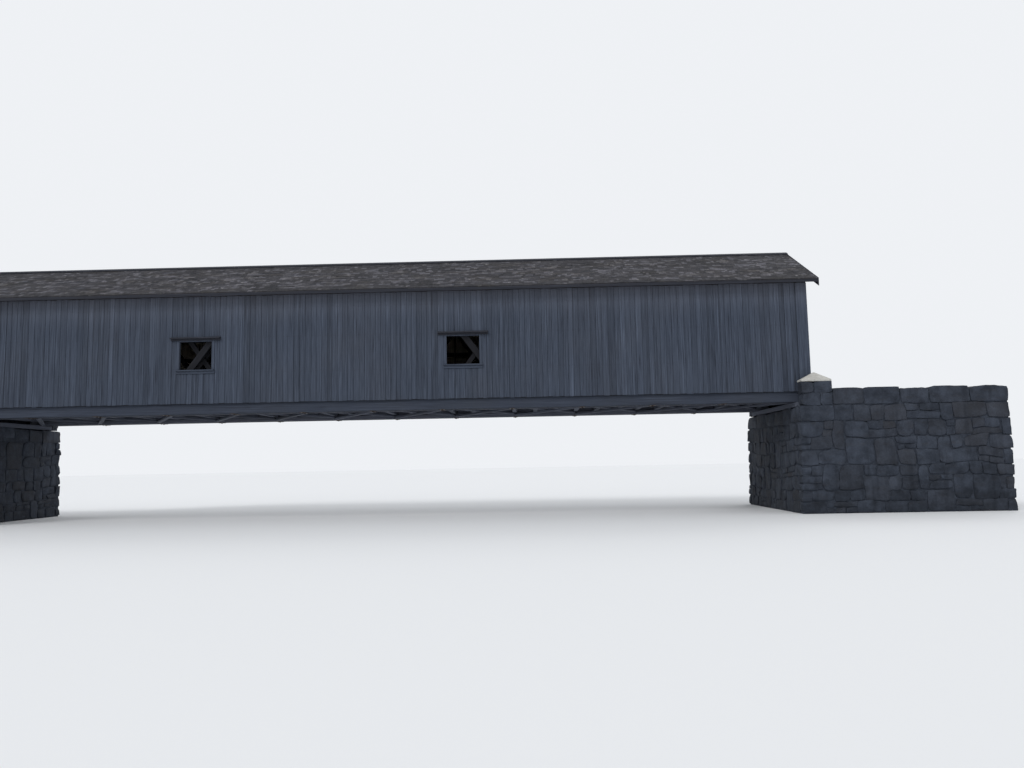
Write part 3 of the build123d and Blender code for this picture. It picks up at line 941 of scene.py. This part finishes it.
def abutment(side):
    """All the stones of one abutment. It is worked out for the right end, and turned for the left."""
    rng = np.random.default_rng(91 if side == "right" else 97)
    hand = 1 if side == "right" else -1
    shape = Shape()

    def outline(node):
        places = np.array([v.co for v in frame["nodes"][node].data.vertices])
        places[:, 0] *= hand
        return places

    breast = outline(side + "_breast_wall")
    wing = outline(side + "_wing_walls")
    back = outline(side + "_back_wall")
    half = breast[:, 1].max()
    seat = breast[:, 2].max()
    foot_x = breast[:, 0].min()
    face_x = breast[breast[:, 2] > seat - 1e-4, 0].min()
    rear_x = breast[:, 0].max()
    end_x = wing[:, 0].max()
    wing_top = wing[:, 2].max()
    inner_top = np.abs(wing[wing[:, 2] > wing_top - 1e-4, 1]).min()
    inner_foot = np.abs(wing[wing[:, 2] < 1e-4, 1]).min()

    def river_x(z):
        return foot_x + (face_x - foot_x) * z / seat

    def inner_y(z):
        return inner_foot + (inner_top - inner_foot) * z / wing_top

    def world(x, y, z):
        return np.stack([np.maximum(x, foot_x) * hand, np.clip(y, -half, half), np.maximum(z, 0)], 1)

    def sway(x, y, z):
        """Courses that run a little out of level, apart from their top and foot."""
        free = 4 * np.clip(z / seat, 0, 1) * (1 - np.clip(z / seat, 0, 1))
        spots = [Vector((a, b, c * 0.6)) * 0.6 for a, b, c in zip(x, y, z)]
        wave = np.array([noise.fractal(spot, 0.8, 2.3, 3) for spot in spots])
        return z + course_wave * free * wave

    def wander(along, up, low, high):
        """Upright joints that lean a little, apart from the wall's own ends."""
        free = np.clip(np.minimum(along - low, high - along) / 0.6, 0, 1)
        wave = np.array([noise.noise(Vector((a * 0.9, b * 1.5, 7.0))) for a, b in zip(along, up)])
        return along + joint_wave * free * wave

    def river(p):
        y = wander(p[:, 0], p[:, 1], -half, half)
        x = river_x(p[:, 1]) + np.maximum(p[:, 2], 0)
        return world(x, y, sway(x, y, p[:, 1]))

    def flank(sign):
        def place(p):
            along = wander(p[:, 0], p[:, 1], 0, end_x - face_x)
            x = river_x(p[:, 1]) + along * (end_x - river_x(p[:, 1])) / (end_x - face_x)
            y = sign * (half - np.maximum(p[:, 2], 0))
            x = np.minimum(x, end_x)
            return world(x, y, sway(x, y, p[:, 1]))
        return place

    def inside(sign):
        def place(p):
            x = np.minimum(rear_x + wander(p[:, 0], p[:, 1], 0, end_x - rear_x), end_x)
            y = sign * (inner_y(p[:, 1]) + np.maximum(p[:, 2], 0))
            return world(x, y, sway(x, y, p[:, 1]))
        return place

    def wing_end(sign):
        def place(p):
            thick = half - inner_y(p[:, 1])
            y = sign * (half - p[:, 0] * thick / (half - inner_top))
            x = end_x - np.maximum(p[:, 2], 0)
            return world(x, y, sway(x, y, p[:, 1]))
        return place

    def rear(p):
        x = rear_x - np.maximum(p[:, 2], 0)
        return world(x, p[:, 0], sway(x, p[:, 0], p[:, 1]))

    def upright(top):
        """Along the bridge, up, and across: for blocks that show on every side."""
        def place(p):
            return world(np.clip(p[:, 0], face_x, end_x), p[:, 2], np.minimum(p[:, 1], top))
        return place

    def through_stones(rows, x_range, z_range, place):
        """Blocks side by side across the bridge, each as deep as its wall."""
        for low, high in zip(rows, rows[1:]):
            sides = zip(x_range, z_range, (low + stone_joint / 2, high - stone_joint / 2))
            stone(shape, tuple(sides), rng, place)

    lines = course_lines + [seat]
    courses = len(lines) - 1
    thickness = half - inner_top
    length = end_x - face_x
    take = [stone_depth * (number % 2 == 0) for number in range(courses)]
    give = [stone_depth - t for t in take]
    field = slice(0, courses - 1)
    masonry(shape, [(-half + t, half - t) for t in take[field]], lines[:-1], rng, river)
    for sign in (-1, 1):
        starts = give[field] + [rear_x - face_x]
        masonry(shape, [(g, length - t) for g, t in zip(starts, take)], lines, rng, flank(sign))
        masonry(shape, [(g, thickness - g) for g in give], lines, rng, wing_end(sign), end_length, 0.0, 0.0)
        masonry(shape, [(0, end_x - rear_x - t) for t in take], lines, rng, inside(sign), inner_length, 0.1)
        blocks = joints(rear_x, end_x, rng, coping_length, spread=0.4)
        near, far = sorted((sign * (half - stone_recess), sign * (inner_top + stone_recess)))
        for a, b in zip(blocks, blocks[1:]):
            top = wing_top - rng.uniform(0.0, coping_ragged)
            box = ((a + stone_joint / 2, seat + coping_bed, near), (b - stone_joint / 2, top, far))
            stone(shape, box, rng, upright(wing_top))
    reach = inner_y(seat / 2) - 0.02
    masonry(shape, [(-reach, reach)] * courses, lines, rng, rear, inner_length, 0.1)
    rows = joints(-half, half, rng, seat_length, spread=0.3)
    x_range = (face_x + thin_joint, rear_x - thin_joint)
    through_stones(rows, x_range, (lines[-2] + bed_joint, seat - bed_joint / 2), upright(seat))
    back_x, back_top, back_half = back[:, 0].min(), back[:, 2].max(), back[:, 1].max()
    levels = [seat, (seat + back_top) / 2, back_top]
    x_range = (back_x + thin_joint / 2, rear_x - thin_joint / 2)
    for z0, z1 in zip(levels, levels[1:]):
        rows = joints(-back_half, back_half, rng, back_length)
        through_stones(rows, x_range, (z0 + bed_joint / 2, z1 - bed_joint / 2), upright(back_top))

    # Plain cores close the joints: back wall, breast wall and wing walls
    ends = (back_x + core_inset, rear_x - core_inset)
    edges = (core_inset - back_half, back_half - core_inset)
    levels = (seat - core_overlap["back"], back_top - core_cover["back"])
    shape.add_core([(x * hand, y, z) for x, y, z in product(ends, edges, levels)])
    edges = (core_inset - half, half - core_inset)
    corners = []
    for z in (0, seat - core_cover["breast"]):
        ends = (river_x(z) + core_inset, rear_x - core_inset)
        corners += [(x * hand, y, z) for x, y in product(ends, edges)]
    shape.add_core(corners)
    ends = (rear_x - core_overlap["wing"], end_x - wing_core_inset)
    for sign in (-1, 1):
        corners = []
        for z in (0, wing_top - core_cover["wing"]):
            edges = (half - wing_core_inset, inner_y(z) + wing_core_inset)
            corners += [(x * hand, sign * y, z) for y, x in product(edges, ends)]
        shape.add_core(corners)
    nodes = [side + "_breast_wall", side + "_back_wall", side + "_wing_walls"]
    shape.piece(side + "_stonework", "stone", [wall_stone, joint_fill], nodes, True)


def piers():
    """The four short piers at the corners, of a few large stones each."""
    rng = np.random.default_rng(101)
    shape = Shape()
    gaps = np.array((thin_joint, bed_joint, bed_joint)) / 2
    for low, high in solid_boxes("corner_piers"):
        def place(p):
            return np.clip(np.stack([p[:, 0], p[:, 2], p[:, 1]], 1), low, high)

        levels = joints(low[2], high[2], rng, pier_course)
        for number, (z0, z1) in enumerate(zip(levels, levels[1:])):
            middle = low[0] + (high[0] - low[0]) * pier_splits[number % 2]
            for a, b in ((low[0], middle), (middle, high[0])):
                box = ((a, z0, low[1]) + gaps, (b, z1, high[1]) - gaps)
                stone(shape, box, rng, place)
        inner, outer = low + (pier_core_inset, pier_core_inset, 0), high - pier_core_inset
        shape.add_core(list(product(*zip(inner, outer))))
    shape.piece("pier_stones", "stone", [wall_stone, joint_fill], ["corner_piers"], True)
    timbers("pier_caps", cap_stone, cap_ease, 0.03)


# Stage, light and camera
def seen_rays(tree):
    """1 for the rays that show a background, and 0 for those that only bring its light to the bridge."""
    rays = tree.nodes.new("ShaderNodeLightPath")
    seen = rays.outputs["Is Camera Ray"]
    for kind in ("Is Glossy Ray", "Is Transmission Ray"):
        either = tree.nodes.new("ShaderNodeMath")
        either.operation = "MAXIMUM"
        tree.links.new(seen, either.inputs[0])
        tree.links.new(rays.outputs[kind], either.inputs[1])
        seen = either.outputs[0]
    return seen


def stage():
    """A pale floor that takes the bridge's shadow."""
    bpy.ops.mesh.primitive_plane_add(size=floor_size, location=(0, 0, -floor_drop))
    floor = bpy.context.object
    floor.name = "floor"
    paint = Paint("pale_floor", 0.95)
    colour = paint.mix(seen_rays(paint.tree), floor_bounce, floor_seen)
    paint.join(colour, paint.surface.inputs["Base Color"])
    floor.data.materials.append(paint.material)


def lights():
    """Even daylight from the whole sky, and two wide suns."""
    world = bpy.data.worlds.new("studio")
    bpy.context.scene.world = world
    world.use_nodes = True
    tree = world.node_tree
    mix = tree.nodes.new("ShaderNodeMix")
    mix.data_type = "RGBA"
    mix.inputs[6].default_value = world_light
    mix.inputs[7].default_value = world_seen
    tree.links.new(seen_rays(tree), mix.inputs[0])
    tree.links.new(mix.outputs[2], tree.nodes["Background"].inputs["Color"])
    for name, turn, strength, softness in lamps:
        data = bpy.data.lights.new(name, "SUN")
        data.energy = strength
        data.angle = softness
        lamp = bpy.data.objects.new(name, data)
        lamp.rotation_euler = turn
        bpy.context.scene.collection.objects.link(lamp)


def camera():
    """The photograph's camera, as it was fitted."""
    flat = cos(camera_pitch)
    look = Vector((sin(camera_yaw) * flat, cos(camera_yaw) * flat, sin(camera_pitch)))
    level = Vector((cos(camera_yaw), -sin(camera_yaw), 0))
    rise = level.cross(look)
    right = level * cos(camera_roll) - rise * sin(camera_roll)
    up = level * sin(camera_roll) + rise * cos(camera_roll)
    data = bpy.data.cameras.new("photo_camera")
    data.lens = camera_lens
    data.clip_end = camera_reach
    view = bpy.data.objects.new("photo_camera", data)
    view.matrix_world = Matrix.Translation(camera_place) @ Matrix((right, up, -look)).transposed().to_4x4()
    bpy.context.scene.collection.objects.link(view)
    bpy.context.scene.camera = view


house()
roof()
timber_frame()
deck()
abutment("left")
abutment("right")
piers()
stage()
lights()
camera()
bpy.context.scene.view_settings.view_transform = "Standard"
